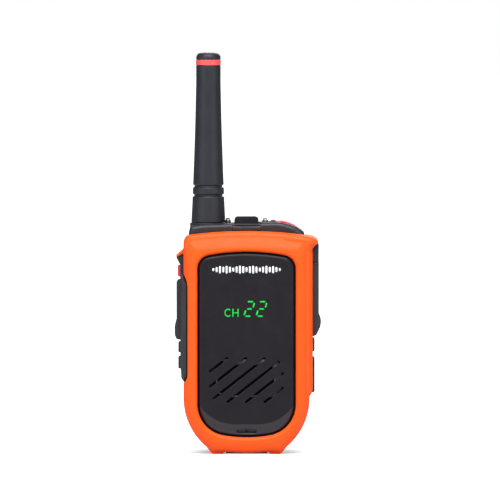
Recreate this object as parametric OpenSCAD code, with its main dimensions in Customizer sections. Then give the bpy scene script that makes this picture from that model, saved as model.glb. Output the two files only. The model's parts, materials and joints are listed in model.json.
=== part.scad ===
// Hand-held two way radio, built as separate pieces.
// Frame: +Z up, front of the radio faces -Y, origin at the centre of the base on the surface
// it stands on. Left is -X and right is +X, as seen from the front.

/* [Body] */
// Half width of the bumper at the sides
body_hw = 27.4; // [27.2:0.1:27.6]
// Height of the bumper's top edge at the centre
body_top = 96.9; // [96.8:0.1:97]
// Radius of the rounded lower end
low_r = 27.4; // [27.2:0.1:27.6]
// Wall thickness of the rubber bumper
bumper_wall = 2.0; // [1.9:0.1:2.05]
// Wall thickness of the front case
case_wall = 2.0; // [1.8:0.1:2.2]

/* [Front panel] */
// Half width of the opening in the bumper
open_hw = 21.3; // [21:0.1:21.6]
// Gap between the bumper and the flange of the front panel
panel_gap = 0.15; // [0.1:0.05:0.3]
// Width of a speaker slot
slot_w = 1.05; // [0.8:0.05:1.2]
// Slope of the speaker slots from the horizontal
slot_angle = 38; // [37:0.5:39]

/* [Aerial] */
// Height of the aerial's tip above the base
aerial_top = 174.2; // [172:0.1:176]
// Radius of the aerial at its foot
aerial_foot_r = 7.4; // [7.1:0.1:7.5]
// Radius of the aerial below the tip
aerial_tip_r = 5.3; // [5.1:0.1:5.6]
// Radius of the threaded stud that screws into the bushing
stud_r = 2.4; // [2.3:0.05:2.45]

/* [Keys] */
// Clearance around each key
key_gap = 0.15; // [0.12:0.01:0.2]
// Running clearance of pins and stems
run_gap = 0.05; // [0.03:0.01:0.08]

/* [Hidden] */
$fn = 48;
seam = 0.02;           // smallest offset between neighbouring faces
low_z = 24.2;          // height of the centre of the rounded lower end
crown_r = 195;         // radius of the crown of the top edge

// Planes across Y, front to back
panel_y = -17.0;       // face of the front panel
bevel_y = -16.7;       // back of the panel's raised face
flange_y = -16.15;     // front of the panel's flange
front_wall_y = -15.2;  // back of the panel and of the bumper's front wall
case_front_y = -15.1;  // front of the front case
side_y = -3.75;        // centre line of the side keys and ports
back_y = 4;            // parting plane of the front and rear case
rear_y = 8.5;          // back face of the rear case
cell_seat_y = 10.1;    // back face of the battery tray
pack_back_y = 17.5;    // back face of the battery pack
case_inset = 2.1;      // front case, inwards from the bumper's outline

// Places shared by several pieces; [x, z] unless noted
boss_at = [[-18.5, 86], [18.5, 86], [-15.6, 12.4], [15.6, 12.4]];
speaker_at = [0, 32.3];
mic_at = [0, 10.1];
pack_screw_at = [0, 82];
insert_at = [[-12, 82], [12, 82]];
contact_x = [-6, 0, 6];
contact_z = 14;
ptt_pivot = [-27.1, 73.9];
flap_pivot = [30.0, 88.0];
antenna_at = [-16.6, -1.4];                // [x, y]
power_at = [16.5, 0.6];                    // [x, y] of the power switch
lug_screw_at = [[-8.1, 1.8], [8.1, 1.8]];  // [x, y]
port_z = 64;
jack_at = [side_y, 76];                    // [y, z]
display_x = [-12.3, 11.5];
display_z = [57.6, 69.4];
bushing_r = 4.0;
bushing_hole_r = bushing_r + 0.05;

// Keys and their switches
call_z = [76.9, 81.8];
vol_up_z = [43.95, 48.6];
vol_down_z = [36.85, 42.25];
ptt_bottom = 49.5;
key_half = 3.5;        // half width of a side key along Y
ptt_half = 4.2;
key_foot_x = -26.1;    // inner face of the side keys
seal_z = [34.1, 83.9];
stem_z = [79.35, 56, 46.4, 39.55];  // call, push-to-talk, volume up, volume down
stem_r = 0.9;
body_bore_r = 0.96;    // stem bore in a switch body
seal_bore_r = 0.98;
case_bore_r = 1.25;
power_x = [11.4, 21.6];
power_y = [-5.0, 2.2];
power_foot_z = 95.9;
lug_x = [-10.2, 10.2];
lug_y = [-6, 3.6];

// Colours used more than once
case_black = [0.2, 0.2, 0.21];
frame_grey = [0.24, 0.23, 0.24];
soft_black = [0.1, 0.1, 0.1];
switch_black = [0.15, 0.15, 0.15];
stem_white = [0.9, 0.9, 0.88];
board_green = [0.1, 0.35, 0.2];
steel = [0.7, 0.7, 0.72];
aerial_brass = [0.75, 0.65, 0.4];
nut_brass = [0.8, 0.65, 0.35];
contact_gold = [0.85, 0.7, 0.35];

// ---------- ranges and solids ----------
// A range is [low, high] along one axis
function span(mid, half) = [mid - half, mid + half];
function side(half) = span(side_y, half);
function grow(range, by) = [range[0] - by, range[1] + by];

// Extrude a drawing in the XZ plane over the range y
module xz(y)
  translate([0, y[1], 0]) rotate([90, 0, 0]) linear_extrude(height = y[1] - y[0]) children();
module slab(points, y) xz(y) polygon(points);
module box(x, y, z)
  translate([x[0], y[0], z[0]]) cube([x[1] - x[0], y[1] - y[0], z[1] - z[0]]);
// Cylinders along one axis; at holds the other two coordinates
module cyl_x(at, r, x)
  translate([x[0], at[0], at[1]]) rotate([0, 90, 0]) cylinder(r = r, h = x[1] - x[0]);
module cyl_y(at, r, y)
  translate([at[0], y[1], at[1]]) rotate([90, 0, 0]) cylinder(r = r, h = y[1] - y[0]);
module cyl_z(at, r, z) translate([at[0], at[1], z[0]]) cylinder(r = r, h = z[1] - z[0]);

// ---------- outlines in the XZ plane ----------
function arc(centre, r, from, to, steps) =
  [for (i = [0:steps]) let (a = from + (to - from) * i / steps) centre + r * [cos(a), sin(a)]];

// Body outline: half circle below, straight sides, small upper corners and a crowned top,
// cut flat at base_z; inset draws the arcs in about their centres
function body_outline(half_w, bottom_r, top_z, crown, corner, inset, base_z) =
  let (crown_z = top_z - crown,
       corner_x = half_w - corner,
       corner_z = crown_z + sqrt(pow(crown - corner, 2) - pow(corner_x, 2)),
       crown_a = atan2(corner_z - crown_z, corner_x),
       base_a = asin((base_z - low_z) / (bottom_r - inset)))
  concat(arc([0, low_z], bottom_r - inset, base_a, 0, 12),
         arc([corner_x, corner_z], corner - inset, 0, crown_a, 5),
         arc([0, crown_z], crown - inset, crown_a + 1.5, 180 - crown_a - 1.5, 8),
         arc([-corner_x, corner_z], corner - inset, 180 - crown_a, 180, 5),
         arc([0, low_z], bottom_r - inset, 180, 180 - base_a, 12));
function shell_outline(inset, base_z) =
  body_outline(body_hw - inset, low_r - inset, body_top - inset, crown_r - inset,
               max(4 - inset, 0.8), 0, base_z);
// Shell outline drawn in, with its flat base 1 mm above the inset
function inner_outline(inset) = shell_outline(inset, inset + 1);
// Bumper outline: the shell outline with a bowed base between the feet
function bumper_outline(inset, base_z) =
  concat(shell_outline(inset, base_z),
         [for (i = [-4:4]) [2.2 * i, base_z - 0.75 * (1 - pow(i / 4.5, 2))]]);
function rear_outline(inset) = body_outline(27.2, 27.2, 94.8, 193, 3.8, inset, 0);
function pack_outline(inset, base_z) = body_outline(25, 25, 91, 134, 4, inset, base_z);

// Outline of the opening around the front panel, drawn in by inset
function opening(inset) =
  let (low_arc_r = 58, low_corner_r = 13.5, top_arc_r = 90, top_corner_r = 6,
       low_c = 65.4,
       low_x = open_hw - low_corner_r,
       low_corner_z = low_c - sqrt(pow(low_arc_r - low_corner_r, 2) - pow(low_x, 2)),
       low_a = atan2(low_corner_z - low_c, low_x),
       top_c = -2,
       top_x = open_hw - top_corner_r,
       top_corner_z = top_c + sqrt(pow(top_arc_r - top_corner_r, 2) - pow(top_x, 2)),
       top_a = atan2(top_corner_z - top_c, top_x))
  concat(arc([0, low_c], low_arc_r - inset, -90, low_a - 1.5, 4),
         arc([low_x, low_corner_z], low_corner_r - inset, low_a, 0, 9),
         arc([top_x, top_corner_z], top_corner_r - inset, 0, top_a, 6),
         arc([0, top_c], top_arc_r - inset, top_a + 1.5, 180 - top_a - 1.5, 8),
         arc([-top_x, top_corner_z], top_corner_r - inset, 180 - top_a, 180, 6),
         arc([-low_x, low_corner_z], low_corner_r - inset, 180, 180 - low_a, 9),
         arc([0, low_c], low_arc_r - inset, -180 - low_a + 1.5, -92.5, 3));

// ---------- bumper ----------
// Outlines as [x, z]; each raised part has a wide and a deep outline
pad_deep = [[20, 25], [27.2, 24.6], [28.2, 26.3], [28.2, 89], [20, 92]];
pad_wide = [[20, 25], [27.2, 24.6], [28.8, 26.3], [28.8, 88.9], [20, 92]];
shoulder_deep = [[20, 88], [28.8, 89.0], [30.0, 90.7], [30.4, 92.2], [28.6, 94.3], [25.2, 95.0],
  [20, 95.7]];
shoulder_wide = [[20, 88], [28.8, 89.0], [29.6, 90.4], [31.1, 91.5], [31.1, 92.3], [30.5, 93.4],
  [28.9, 94.45], [25.2, 95.1], [20, 95.8]];
key_cutout = [[-25.7, 32.8], [-27.5, 30.0], [-40, 30.0], [-40, 78.4], [-27.5, 78.4], [-25.7, 74.2]];
key_cutout_inner = [[-24.9, 33.0], [-26.2, 33.0], [-26.2, 74.0], [-24.9, 74.0]];
key_cutout_back = [[-24, 31.0], [-26.8, 30.4], [-40, 30.4], [-40, 87.7], [-24, 87.7]];
right_cutout = [[24, 26.2], [40, 26.2], [40, 96.4], [31.1, 91.65], [29.5, 90.8], [28.75, 89.3],
  [24, 89.1]];
guard_lip = [[-26.6, 87.9], [-27.5, 87.6], [-30.35, 85.75], [-30.75, 86.1], [-27.6, 88.7],
  [-26.6, 89.6]];
guard_lip_front = [[-26.6, 86.9], [-27.5, 87.15], [-30.45, 85.3], [-30.75, 86.1], [-27.6, 88.7],
  [-26.6, 89.6]];

module front_bumper() color([1, 0.4, 0.17]) union() {
  difference() {
    union() {
      hull() {
        slab(bumper_outline(5.2, 5.6), [-17.5, -17.4]);
        slab(bumper_outline(3.3, 3.9), [-17.1, -17.0]);
        slab(bumper_outline(1.7, 2.5), [-16.2, -16.1]);
        slab(bumper_outline(0.6, 1.5), [-14.6, -14.5]);
        slab(bumper_outline(0, 1.1), [-12, back_y]);
      }
      // raised pad that carries the right side frame
      hull() {
        slab(pad_deep, [-14.6, back_y - seam]);
        slab(pad_wide, [-13.4, back_y - 0.8]);
      }
      // shoulder above the port flap
      hull() {
        slab(shoulder_deep, [-14.2, back_y - seam]);
        slab(shoulder_wide, [-12.6, back_y - 1]);
      }
      // feet
      for (s = [-1, 1])
        slab([[s * 9.3, 1.3], [s * 10.2, 0], [s * 15.2, 0], [s * 16.7, 2.4], [s * 12, 3]],
             [-12, 3.2]);
    }
    slab(opening(0), [-18, -14]);
    slab(inner_outline(bumper_wall), [front_wall_y, back_y + 1]);
    box([-25.4, 25.4], [-11.45, 5], [88, 110]);  // top opening for the cap
    // left cut-out for the key frame
    slab(key_cutout, [-20, 5]);
    slab(key_cutout_inner, [front_wall_y, 5]);
    slab(key_cutout_back, side(5.95));
    // right cut-out for the side frame and its ears
    slab(right_cutout, side(5.95));
    // window for the base pad of the front case
    box([-9.2, 9.2], [-6.2, 5], [-1, 4]);
  }
  // lip over the guard of the left key frame
  slab(guard_lip, [-10.4, 2.0]);
  slab(guard_lip_front, [-10.4, -9.65]);
}

// ---------- front panel ----------
module speaker_slot(start, length) translate(start) rotate(slot_angle) union() {
  translate([0, -slot_w / 2]) square([length, slot_w]);
  circle(d = slot_w, $fn = 16);
  translate([length, 0]) circle(d = slot_w, $fn = 16);
}
// Speaker slots: x and z of the lower end, length
slot_rows = [[-15.8, 36.1, 9.35], [-15.8, 29.6, 19.75], [-14.1, 24.5, 27.75],
  [-8.2, 22.8, 28.2], [-0.2, 22.8, 20.15], [7.9, 22.8, 9.75]];

// Rectangle with its corners cut off
function clipped(x, z, cut) = [
  [x[0] + cut, z[0]], [x[1] - cut, z[0]], [x[1], z[0] + cut], [x[1], z[1] - cut],
  [x[1] - cut, z[1]], [x[0] + cut, z[1]], [x[0], z[1] - cut], [x[0], z[0] + cut]];

// Region below the edge of the lower crescent, which sags towards the middle
crescent_hw = 20.6;
crescent = concat([[-30, 0], [30, 0], [30, 30]],
  [for (i = [0:12]) let (x = crescent_hw - 2 * crescent_hw * i / 12)
    [x, 12.3 + 9.2 * pow(abs(x) / crescent_hw, 3)]],
  [[-30, 30]]);

// One lit bar from start to end with pointed ends
bar_w = 0.64;
function bar(start, end) =
  let (along = (end - start) / norm(end - start) * bar_w / 2, across = [-along[1], along[0]])
  [start, start + along + across, end - along + across, end,
   end - along - across, start + along - across];
// Lit bars of the figure two, leaning to the right
function figure_two(x) = [
  bar([x + 1.3, 66.34], [x + 3.85, 66.34]),
  bar([x + 4.32, 65.95], [x + 3.75, 63.75]),
  bar([x + 1.05, 63.2], [x + 3.3, 63.2]),
  bar([x + 0.55, 62.65], [x - 0.15, 60.4]),
  bar([x + 0.3, 60.07], [x + 2.7, 60.07])];
// Channel label "CH" to the left of the figures
letter_c_at = [-8.25, 61.55];
letter_c = concat(arc(letter_c_at, 1.78, 48, 312, 14), arc(letter_c_at, 1.22, 312, 48, 14));
letter_h = [[-6.15, 59.8], [-5.6, 59.8], [-5.6, 61.25], [-4.0, 61.25], [-4.0, 59.8], [-3.45, 59.8],
  [-3.45, 63.3], [-4.0, 63.3], [-4.0, 61.8], [-5.6, 61.8], [-5.6, 63.3], [-6.15, 63.3]];
lit_shapes = concat(figure_two(-0.9), figure_two(4.4), [letter_c, letter_h]);

module display_segments() color([0.1, 0.95, 0.3])
  for (shape = lit_shapes) slab(shape, [panel_y + seam, -16.3]);

module front_panel() color([0.18, 0.17, 0.18]) union() {
  difference() {
    union() {
      slab(opening(panel_gap), [flange_y, front_wall_y]);
      slab(opening(panel_gap + 0.75), [bevel_y, flange_y]);
      difference() {
        slab(opening(panel_gap + 1.2), [panel_y, bevel_y]);
        slab(crescent, [-18, bevel_y]);  // lies back from the face
      }
    }
    for (row = slot_rows) xz([-18, -15]) speaker_slot([row[0], row[1]], row[2]);
    for (shape = lit_shapes) slab(shape, [-18, -16.28]);
    box([-4.3, 4.3], [panel_y, -16.2], [9.35, 10.8]);
    cyl_y(mic_at, 0.5, [panel_y, -15]);
  }
  // stiffening frame that crosses the slots behind the face
  difference() {
    slab(clipped([-13.3, 15.2], [24.8, 41.35], 3), [flange_y, -15.25]);
    slab(clipped([-12.5, 11.9], [25.6, 38.9], 2), [-18, -14]);
  }
}

// ---------- cases ----------
// Cutters for the charging port and headset jack, over the range x
module port_windows(x) {
  box(x, side(1.85), span(port_z, 5));
  cyl_x(jack_at, 3.15, x);
}

module front_case() color(case_black) difference() {
  union() {
    difference() {
      slab(inner_outline(case_inset), [case_front_y, back_y]);
      slab(inner_outline(case_inset + case_wall), [case_front_y + case_wall, back_y + 1]);
    }
    for (at = boss_at) cyl_y(at, 2.4, [-13.5, back_y]);
    box([-9, 9], [-6, back_y], [0, 4]);  // base pad
  }
  for (at = boss_at) cyl_y(at, 0.9, [-8, back_y + 1]);
  cyl_y(speaker_at, 12.5, [-16, -13]);                           // sound opening
  cyl_y(speaker_at, 14.6, [-16, -14.6]);                         // seat of the speaker mesh
  box(grow(display_x, 0.3), [-16, -13], grow(display_z, 0.3));   // display window
  cyl_y(mic_at, 0.6, [-16, -13]);
  box([-26, -24.65], side(4.75), grow(seal_z, 0.1));             // seat of the key seal
  for (z = stem_z) cyl_x([side_y, z], case_bore_r, [-26, -23]);
  port_windows([23, 26]);
  cyl_z(antenna_at, bushing_hole_r, [85, 96]);
  cyl_z(power_at, case_bore_r, [88, 96]);
  for (at = lug_screw_at) cyl_z(at, 0.82, [92, 96]);
}

module case_gasket() color([0.12, 0.12, 0.12]) difference() {
  slab(inner_outline(2.75), [back_y + seam, back_y + 0.55]);
  slab(inner_outline(3.5), [back_y - 1, back_y + 2]);
}

module rear_case() color(case_black) difference() {
  hull() {
    slab(rear_outline(0), [back_y, rear_y - 1]);
    slab(rear_outline(0.9), [back_y, rear_y]);
  }
  slab(inner_outline(5.2), [back_y - 1, 6]);
  // gasket groove
  difference() {
    slab(inner_outline(2.7), [back_y - 1, back_y + 0.6]);
    slab(inner_outline(3.55), [back_y - 2, back_y + 1]);
  }
  for (at = boss_at) {
    cyl_y(at, 1.2, [3, 9]);
    cyl_y(at, 2.1, [6.8, 9]);
  }
  cyl_y(pack_screw_at, 2.6, [3, 7.6]);
  cyl_y(pack_screw_at, 1.65, [3, 9]);
  for (x = contact_x) cyl_y([x, contact_z], 0.95, [3, 9]);
}

module case_screws() color([0.6, 0.6, 0.62]) for (at = boss_at) difference() {
  union() {
    cyl_y(at, 0.88, [-6, 6.9]);
    cyl_y(at, 1.9, [6.85, 8.3]);
  }
  // cross recess
  box(span(at[0], 1.2), [7.5, 9], span(at[1], 0.2));
  box(span(at[0], 0.2), [7.5, 9], span(at[1], 1.2));
}

// ---------- top ----------
// Cap from the front, [x, z]
cap_outline = [[-25.2, 91.4], [-25.2, 95], [-25.0, 96.6], [-24.3, 98.9], [-20, 99.6], [6, 99.9],
  [10, 100.6], [13, 100.65], [16, 100.3], [19, 99.55], [21.6, 98.55], [23.9, 97.0], [24.95, 96.0],
  [25.2, 95.2], [25.2, 91.4]];
power_guard = [[9.2, 99], [9.4, 100.7], [10.3, 101.25], [11.0, 101.4], [12.4, 101.3],
  [13.4, 100.5], [13.4, 99]];
// Draw the cap in at the sides, and down where it is above z = 94
function shrunk_cap(by) =
  [for (p = cap_outline) [p[0] * (1 - by / 25), p[1] - (p[1] > 94 ? by : 0)]];

module top_cap() color([0.23, 0.23, 0.24]) difference() {
  union() {
    hull() {
      slab(shrunk_cap(1.2), [-11.3, 8.4]);
      slab(shrunk_cap(0.45), [-10.8, 8]);
      slab(cap_outline, [-9.9, 7.2]);
    }
    cyl_z(antenna_at, 8.0, [94, 100.2]);
    slab(power_guard, [-6.4, 3.6]);  // guard at the power key's inner end
    box([-6.1, 6.1], [-12.0, -9], [97.1, 98.7]);  // step below the lug
  }
  slab(inner_outline(2.05), [-20, 20]);
  slab(rear_outline(-0.06), [back_y - 0.1, 20]);
  cyl_z(antenna_at, bushing_hole_r, [85, 102]);
  // power key opening and the room for its rim
  box(grow(power_x, key_gap), grow(power_y, key_gap), [90, 110]);
  box(grow(power_x, 1), grow(power_y, 1), [90, 96.8]);
  // seat of the lug, open to the front
  box([-6.1, 6.1], [-13, -6.1], [98.9, 110]);
  box(grow(lug_x, 0.2), grow(lug_y, 0.2), [98.4, 110]);
  for (at = lug_screw_at) cyl_z(at, 0.95, [90, 100]);
}

loop_outline = [[-5.3, 99], [-5.3, 101.7], [-4.9, 102.6], [-4.0, 103], [3.9, 103], [4.8, 102.6],
  [5.2, 101.7], [5.2, 99]];
module lanyard_lug() color([0.08, 0.08, 0.09]) difference() {
  union() {
    box(lug_x, lug_y, [98.45, 99.55]);
    slab(loop_outline, [-5.8, -0.6]);
  }
  // eye for the wrist strap, along X; drawn in the YZ plane
  rotate([90, 0, 90]) translate([0, 0, -8]) linear_extrude(height = 16) union() {
    translate([-4.3, 99.8]) square([2.2, 1.7]);
    for (y = [-4.3, -2.1]) translate([y, 100.65]) circle(r = 0.85);
  }
  for (at = lug_screw_at) cyl_z(at, 0.95, [90, 100]);
}

module lug_screws() color([0.75, 0.72, 0.68]) for (at = lug_screw_at) difference() {
  union() {
    cyl_z(at, 0.8, [93, 99.7]);
    cyl_z(at, 1.3, [99.6, 101.3]);
    cyl_z(at, 0.85, [101.2, 102.2]);
  }
  box(span(at[0], 2), span(at[1], 0.15), [101.6, 103]);
}

power_outline = [[power_x[0], power_foot_z], [power_x[0], 100.7], [11.8, 101.0], [15.7, 101.05],
  [18.3, 100.35], [20.9, 99.25], [power_x[1], 98.6], [power_x[1], power_foot_z]];
module power_button() color([0.85, 0.16, 0.24]) union() {
  slab(power_outline, power_y);
  box(grow(power_x, 0.8), grow(power_y, 0.8), [power_foot_z, 96.7]);  // rim
}
module power_button_seal() color(soft_black) difference() {
  box([11, 22], [-5.6, 2.8], [94.2, 95.1]);
  slab(inner_outline(2.0), [-20, 20]);
  cyl_z(power_at, seal_bore_r, [90, 97]);
}
module power_switch_body() color(switch_black) difference() {
  box([13.5, 19.5], [-1.5, 2.7], [88.8, 91.2]);
  cyl_z(power_at, body_bore_r, [89.4, 92]);
}
module power_switch_stem() color(stem_white)
  cyl_z(power_at, stem_r, [90.2, power_foot_z - seam]);

// ---------- aerial ----------
sheath_bore_r = 3.6;
sheath_foot_z = 100.32;
// Groove of the coloured ring near the tip
groove_r = 4.6;
groove_z = [168.7, 171.1];
ring_r = aerial_tip_r + seam;
ring_z = grow(groove_z, -seam);
// Half section as [radius, z], from the foot up to the tip and down the bore
sheath_section = [
  [sheath_bore_r, sheath_foot_z], [aerial_foot_r, sheath_foot_z], [7.0, 108.5],
  [6.87, 111.5], [6.1, 111.7], [6.1, 112.5], [6.83, 112.7],
  [6.75, 115.5], [6.0, 115.7], [6.0, 116.5], [6.68, 116.7],
  [6.57, 119], [5.94, 136.4], [5.5, 153.8], [aerial_tip_r, 165],
  [aerial_tip_r, groove_z[0]], [groove_r, groove_z[0]],
  [groove_r, groove_z[1]], [aerial_tip_r, groove_z[1]],
  [aerial_tip_r, 172.3], [4.9, 173.3], [4.07, 174.0], [2.5, aerial_top], [0, aerial_top],
  [0, 166], [sheath_bore_r, 166]];
// Revolve a half section about the aerial's axis
module aerial_turned(section)
  translate([antenna_at[0], antenna_at[1], 0]) rotate_extrude($fn = 64) polygon(section);
module antenna_sheath() color([0.23, 0.23, 0.25]) aerial_turned(sheath_section);
module antenna_ring() color([0.95, 0.3, 0.3]) aerial_turned(
  [[groove_r + seam, ring_z[0]], [ring_r, ring_z[0]],
   [ring_r, ring_z[1]], [groove_r + seam, ring_z[1]]]);

// Helical spring radiator: rings of points along a helix, joined into one tube
coil_r = 2.9;
coil_pitch = 5;
wire_r = 0.45;
turn_steps = 14;       // rings in one turn
ring_points = 6;       // points in one ring
last_ring = 11 * turn_steps;
coil_points = [for (k = [0:last_ring]) for (j = [0:ring_points - 1])
  let (turn = 360 * k / turn_steps, a = 360 * j / ring_points, r = coil_r + wire_r * cos(a))
  [r * cos(turn), r * sin(turn), coil_pitch * k / turn_steps + wire_r * sin(a)]];
coil_sides = [for (k = [0:last_ring - 1]) for (j = [0:ring_points - 1])
  let (a = k * ring_points + j, b = k * ring_points + (j + 1) % ring_points,
       c = a + ring_points, d = b + ring_points)
  each [[c, d, b], [c, b, a]]];
module antenna_coil() color([0.8, 0.55, 0.3]) translate([antenna_at[0], antenna_at[1], 106.6])
  polyhedron(points = coil_points, faces = concat(
    [[for (j = [ring_points - 1:-1:0]) j]], coil_sides,
    [[for (j = [0:ring_points - 1]) last_ring * ring_points + j]]));
module antenna_stud() color(aerial_brass) union() {
  cyl_z(antenna_at, stud_r, [93.5, 101]);
  cyl_z(antenna_at, 3.57, [100.4, 106]);
}
module antenna_bushing() color(aerial_brass) difference() {
  cyl_z(antenna_at, bushing_r, [90.3, 100.1]);
  cyl_z(antenna_at, stud_r + run_gap, [92.4, 101]);
}

// ---------- left side keys ----------
// Outlines as [x, z]; the front part of the frame tapers from wide to narrow
key_frame_outline = [[-25.4, 32.3], [-25.8, 32.5], [-27.1, 31.0], [-28.4, 32.8], [-28.6, 36.4],
  [-28.8, 38], [-28.8, 82.0], [-30.5, 85.3], [-27.6, 87.2], [-25.4, 87.4]];
key_frame_wide = [[-25.9, 33.1], [-27.1, 31.2], [-28.3, 32.9], [-28.5, 36.6], [-28.7, 38],
  [-28.7, 77.9], [-27.6, 77.9], [-25.9, 73.9]];
key_frame_narrow = [[-25.9, 34.2], [-27.1, 33.2], [-27.7, 37], [-27.7, 75.4], [-25.9, 73.5]];
// Opening for a key at the range key_z, and the pocket behind it for the key's rim
module key_opening(key_z, pocket_z) {
  box([-40, -24], side(key_half + key_gap), grow(key_z, key_gap));
  box([-26.95, -24], side(4.4), pocket_z);
}
module left_key_frame() color(frame_grey) difference() {
  union() {
    slab(key_frame_outline, side(5.75));
    hull() {
      slab(key_frame_wide, [-12.5, -9.4]);
      slab(key_frame_narrow, [-15, -9.4]);
    }
  }
  slab(inner_outline(2.08), [-20, 20]);
  box([-26.0, -24], [-15.2, -9.7], [20, 80]);
  key_opening(call_z, [76.25, 82.8]);
  box([-40, -24], side(ptt_half + key_gap), [ptt_bottom - key_gap, 76.0]);
  cyl_y(ptt_pivot, 0.82, side(5.25));
  for (key_z = [vol_up_z, vol_down_z]) key_opening(key_z, grow(key_z, 0.55));
}
// Key over the range z with its outer face at face_x, and a rim at its foot
module side_key(z, face_x) union() {
  hull() {
    box([face_x + 0.35, key_foot_x], side(key_half), z);
    box([face_x, key_foot_x], side(3.1), grow(z, -0.4));
  }
  box([-26.85, key_foot_x], side(4.2), grow(z, 0.4));
}
module call_button() color([0.9, 0.2, 0.28]) side_key(call_z, -29.9);
module vol_up_button() color(case_black) side_key(vol_up_z, -29.7);
module vol_down_button() color(case_black) side_key(vol_down_z, -29.7);
module key_stem(z) color(stem_white) cyl_x([side_y, z], stem_r, [key_foot_x + seam, -22.5]);
module call_switch_stem() key_stem(stem_z[0]);
module vol_up_switch_stem() key_stem(stem_z[2]);
module vol_down_switch_stem() key_stem(stem_z[3]);

ptt_outline = [[-27.0, ptt_bottom], [-29.6, ptt_bottom], [-30.6, 49.9], [-31.2, 51.4],
  [-31.3, 54.9], [-30.95, 56.9], [-30.5, 58.3], [-30.45, 60], [-30.45, 74.4], [-30.1, 75.2],
  [-29.4, 75.7], [-27.2, 75.7], [-25.9, 74.9], [-25.6, 73.9], [-25.9, 72.6], [-26.9, 71.5]];
ptt_pin_r = 0.8;
module ptt_lever() color([0.22, 0.21, 0.22]) difference() {
  union() {
    slab(ptt_outline, side(ptt_half));
    box([-27.1, -26.45], side(1.5), [54.6, 57.4]);  // nub that presses the switch stem
  }
  cyl_y(ptt_pivot, ptt_pin_r + run_gap, [-20, 20]);
}
module ptt_pivot_pin() color(steel) cyl_y(ptt_pivot, ptt_pin_r, side(5.15));
module ptt_switch_stem() color(stem_white) cyl_x([side_y, stem_z[1]], stem_r, [-26.37, -22.6]);
module side_key_seal() color(soft_black) difference() {
  box([-25.22, -24.7], side(4.65), seal_z);
  for (z = stem_z) cyl_x([side_y, z], seal_bore_r, [-26, -24]);
}
module side_switch_bodies() color(switch_black) for (z = stem_z) difference() {
  box([-23.2, -20.62], side(2.2), span(z, 2.2));
  cyl_x([side_y, z], body_bore_r, [-24, -21.3]);
}
module side_key_board() color(board_green) box([-20.58, -19.6], side(3.25), [35, 83]);

// ---------- right side ----------
plug_mid_z = 70;       // middle of the flap's plug
frame_plate = [[25.4, 26.5], [28.4, 26.5], [28.4, 88.5], [25.4, 88.5]];
low_rib = [[28, 26.6], [29.2, 26.6], [29.6, 27.2], [29.6, 41.6], [29.2, 42], [28, 42]];
high_rib = [[28, 44.4], [29.2, 44.4], [29.6, 44.8], [29.6, 49.9], [29.2, 50.3], [28, 50.3]];
ear_outline = [[28.0, 83.3], [31.05, 83.3], [31.3, 83.6], [31.4, 90.7], [31.15, 91.4],
  [29.7, 90.6], [28.95, 89.1], [28.0, 88.85]];
module right_side_frame() color(frame_grey) difference() {
  union() {
    slab(frame_plate, side(5.75));
    slab(low_rib, side(5.25));
    slab(high_rib, side(5.25));
    // hinge ears
    for (y = [[-9.5, -8.1], [0.6, 2.0]]) slab(ear_outline, y);
  }
  slab(inner_outline(2.08), [-20, 20]);
  box([26.2, 29], side(3.75), span(plug_mid_z, 12.9));  // pocket for the plug of the flap
  port_windows([24, 27]);
  cyl_y(flap_pivot, 1.5, [-8.1, 0.6]);
  cyl_y(flap_pivot, 0.62, side(5.25));
}

flap_neck = [[28.65, 80], [31.35, 80], [31.35, 88], [30.0, 88], [28.65, 88]];
flap_outline = [[28.65, 51.2], [29.2, 51.0], [30.4, 51.6], [32.1, 55.2], [32.4, 57.4],
  [32.2, 58.9], [31.7, 60.2], [31.4, 61.0], [31.4, 83], [28.65, 83]];
module port_cover() color([0.2, 0.19, 0.2]) difference() {
  union() {
    cyl_y(flap_pivot, 1.35, side(4.25));
    slab(flap_neck, side(4.25));
    slab(flap_outline, side(5.45));
    // hollow plug
    difference() {
      box([26.5, 28.7], side(3.45), span(plug_mid_z, 12.5));
      box([26, 28.6], side(2.35), span(plug_mid_z, 11.4));
    }
  }
  // grooves across the lower end
  for (i = [0:3]) box([30, 33], side(2.75), [53.6, 54.1] + i * [1.25, 1.25]);
  cyl_y(flap_pivot, 0.66, [-20, 20]);
}
module port_cover_pin() color(steel) cyl_y(flap_pivot, 0.6, side(5.15));
module usb_c_port() color([0.72, 0.72, 0.74]) difference() {
  box([19.1, 26.15], side(1.65), span(port_z, 4.5));
  box([20, 27], side(1.35), span(port_z, 4.15));
}
module headset_jack() color([0.12, 0.12, 0.12]) difference() {
  union() {
    cyl_x(jack_at, 3.0, [23, 26.15]);
    box([11.7, 23.1], side(2.85), span(jack_at[1], 3.1));
  }
  cyl_x(jack_at, 1.28, [13.5, 27]);
}

// ---------- inside ----------
module main_board() color(board_green) difference() {
  box([-19, 19], [-3.2, -1.6], [7.5, 90]);
  // rounds the lower end
  slab(concat([[-40, -5], [40, -5]], arc([0, low_z], 22.6, 0, -180, 24)), [-4, 0]);
  for (at = boss_at) cyl_y(at, 2.7, [-4, 0]);
  box([11.4, 20], [-4, 0], span(jack_at[1], 3.4));
}
can_x = [-17, 3];
can_z = [52, 80];
can_wall = 0.3;
module shield_can() color([0.75, 0.75, 0.77]) difference() {
  box(can_x, [-1.58, 1.4], can_z);
  box(grow(can_x, -can_wall), [-2, 1.4 - can_wall], grow(can_z, -can_wall));
}
module display_board() color(board_green) box([-15, 15], [-10.4, -9.2], [53, 73]);
module display_module() color([0.85, 0.85, 0.82]) box(display_x, [-14.9, -10.42], display_z);

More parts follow.
